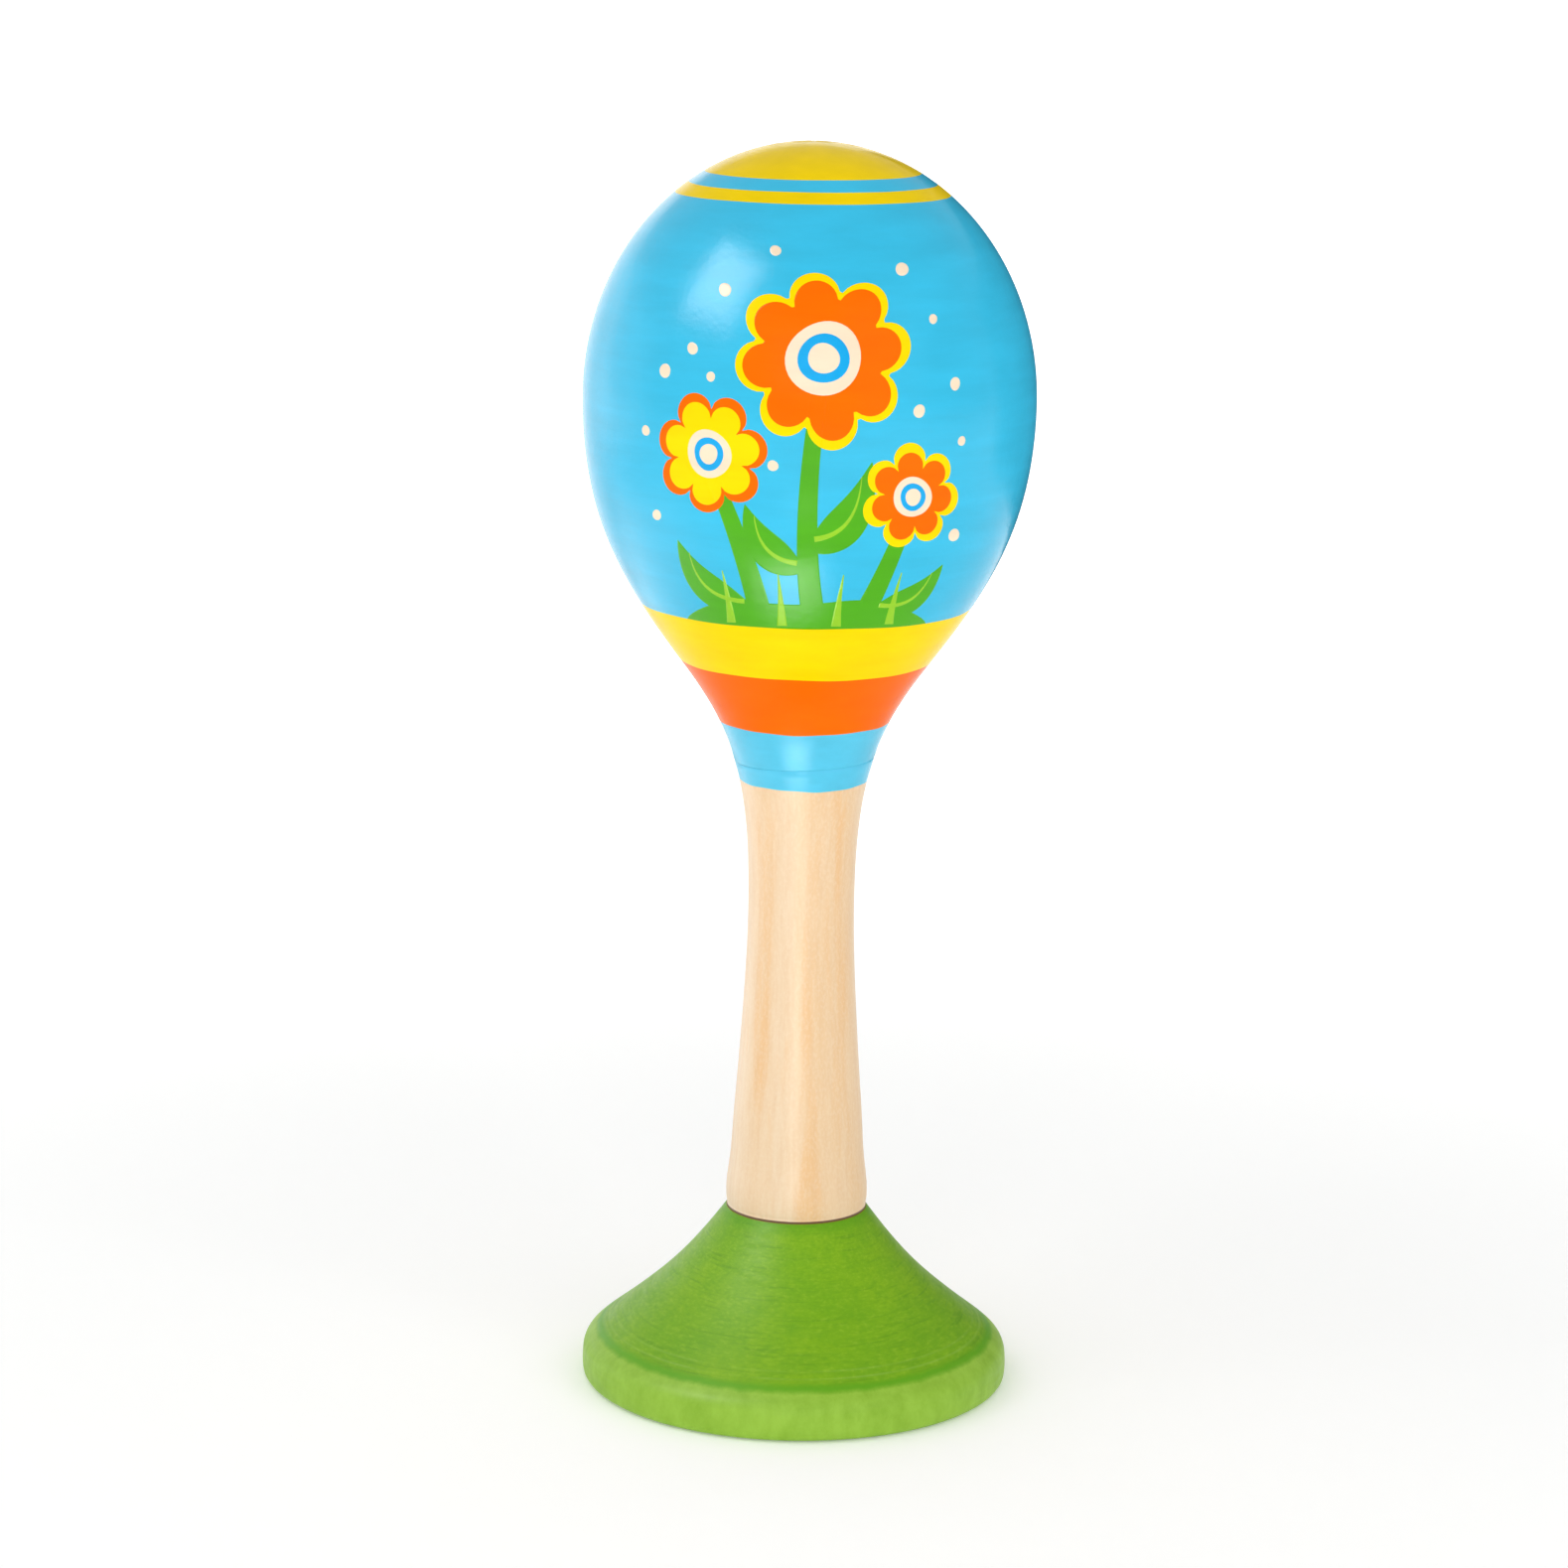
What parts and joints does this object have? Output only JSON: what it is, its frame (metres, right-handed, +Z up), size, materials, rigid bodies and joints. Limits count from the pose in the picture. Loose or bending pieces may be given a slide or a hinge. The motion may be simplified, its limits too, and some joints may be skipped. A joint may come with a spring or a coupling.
{
  "type": "baby maraca",
  "caption": "Wooden baby maraca with a hollow painted egg-shaped head, a turned handle, a bell-shaped foot that it stands on, and loose beads that rattle inside.",
  "frame": {"origin": "centre of the base's flat underside", "axes": "+Z up, along the axis that every part is turned about; -Y towards the decorated front"},
  "size_m": [0.057, 0.057, 0.1602],
  "materials": {
    "enamelled_wood": "gloss enamel in sky blue with yellow, orange and light blue bands",
    "plain_wood": "clear satin varnish over pale wood",
    "green_stained_wood": "green stain under satin varnish",
    "bead_wood": "bare turned hardwood"
  },
  "bodies": {
    "instrument": {"base": "green_stained_wood", "handle": "plain_wood", "head_lower_shell": "enamelled_wood", "head_upper_shell": "enamelled_wood"},
    "bead_01": {"rattle_bead_01": "bead_wood"},
    "bead_02": {"rattle_bead_02": "bead_wood"},
    "bead_03": {"rattle_bead_03": "bead_wood"},
    "bead_04": {"rattle_bead_04": "bead_wood"},
    "bead_05": {"rattle_bead_05": "bead_wood"},
    "bead_06": {"rattle_bead_06": "bead_wood"},
    "bead_07": {"rattle_bead_07": "bead_wood"},
    "bead_08": {"rattle_bead_08": "bead_wood"},
    "bead_09": {"rattle_bead_09": "bead_wood"},
    "bead_10": {"rattle_bead_10": "bead_wood"},
    "bead_11": {"rattle_bead_11": "bead_wood"},
    "bead_12": {"rattle_bead_12": "bead_wood"},
    "bead_13": {"rattle_bead_13": "bead_wood"},
    "bead_14": {"rattle_bead_14": "bead_wood"},
    "bead_15": {"rattle_bead_15": "bead_wood"},
    "bead_16": {"rattle_bead_16": "bead_wood"},
    "bead_17": {"rattle_bead_17": "bead_wood"},
    "bead_18": {"rattle_bead_18": "bead_wood"},
    "bead_19": {"rattle_bead_19": "bead_wood"}
  },
  "joints": [
    {"name": "bead_01_rattle", "type": "slide", "parent": "instrument", "child": "bead_01", "axis": [0, 0, 1], "range_m": [0, 0.0456]},
    {"name": "bead_02_rattle", "type": "slide", "parent": "instrument", "child": "bead_02", "axis": [0, 0, 1], "range_m": [0, 0.0441]},
    {"name": "bead_03_rattle", "type": "slide", "parent": "instrument", "child": "bead_03", "axis": [0, 0, 1], "range_m": [0, 0.0441]},
    {"name": "bead_04_rattle", "type": "slide", "parent": "instrument", "child": "bead_04", "axis": [0, 0, 1], "range_m": [0, 0.0441]},
    {"name": "bead_05_rattle", "type": "slide", "parent": "instrument", "child": "bead_05", "axis": [0, 0, 1], "range_m": [0, 0.0441]},
    {"name": "bead_06_rattle", "type": "slide", "parent": "instrument", "child": "bead_06", "axis": [0, 0, 1], "range_m": [0, 0.0441]},
    {"name": "bead_07_rattle", "type": "slide", "parent": "instrument", "child": "bead_07", "axis": [0, 0, 1], "range_m": [0, 0.0441]},
    {"name": "bead_08_rattle", "type": "slide", "parent": "instrument", "child": "bead_08", "axis": [0, 0, 1], "range_m": [0, 0.0395]},
    {"name": "bead_09_rattle", "type": "slide", "parent": "instrument", "child": "bead_09", "axis": [0, 0, 1], "range_m": [0, 0.0395]},
    {"name": "bead_10_rattle", "type": "slide", "parent": "instrument", "child": "bead_10", "axis": [0, 0, 1], "range_m": [0, 0.0395]},
    {"name": "bead_11_rattle", "type": "slide", "parent": "instrument", "child": "bead_11", "axis": [0, 0, 1], "range_m": [0, 0.0395]},
    {"name": "bead_12_rattle", "type": "slide", "parent": "instrument", "child": "bead_12", "axis": [0, 0, 1], "range_m": [0, 0.0395]},
    {"name": "bead_13_rattle", "type": "slide", "parent": "instrument", "child": "bead_13", "axis": [0, 0, 1], "range_m": [0, 0.0395]},
    {"name": "bead_14_rattle", "type": "slide", "parent": "instrument", "child": "bead_14", "axis": [0, 0, 1], "range_m": [0, 0.0395]},
    {"name": "bead_15_rattle", "type": "slide", "parent": "instrument", "child": "bead_15", "axis": [0, 0, 1], "range_m": [0, 0.0395]},
    {"name": "bead_16_rattle", "type": "slide", "parent": "instrument", "child": "bead_16", "axis": [0, 0, 1], "range_m": [0, 0.0395]},
    {"name": "bead_17_rattle", "type": "slide", "parent": "instrument", "child": "bead_17", "axis": [0, 0, 1], "range_m": [0, 0.0395]},
    {"name": "bead_18_rattle", "type": "slide", "parent": "instrument", "child": "bead_18", "axis": [0, 0, 1], "range_m": [0, 0.0395]},
    {"name": "bead_19_rattle", "type": "slide", "parent": "instrument", "child": "bead_19", "axis": [0, 0, 1], "range_m": [0, 0.0395]}
  ]
}
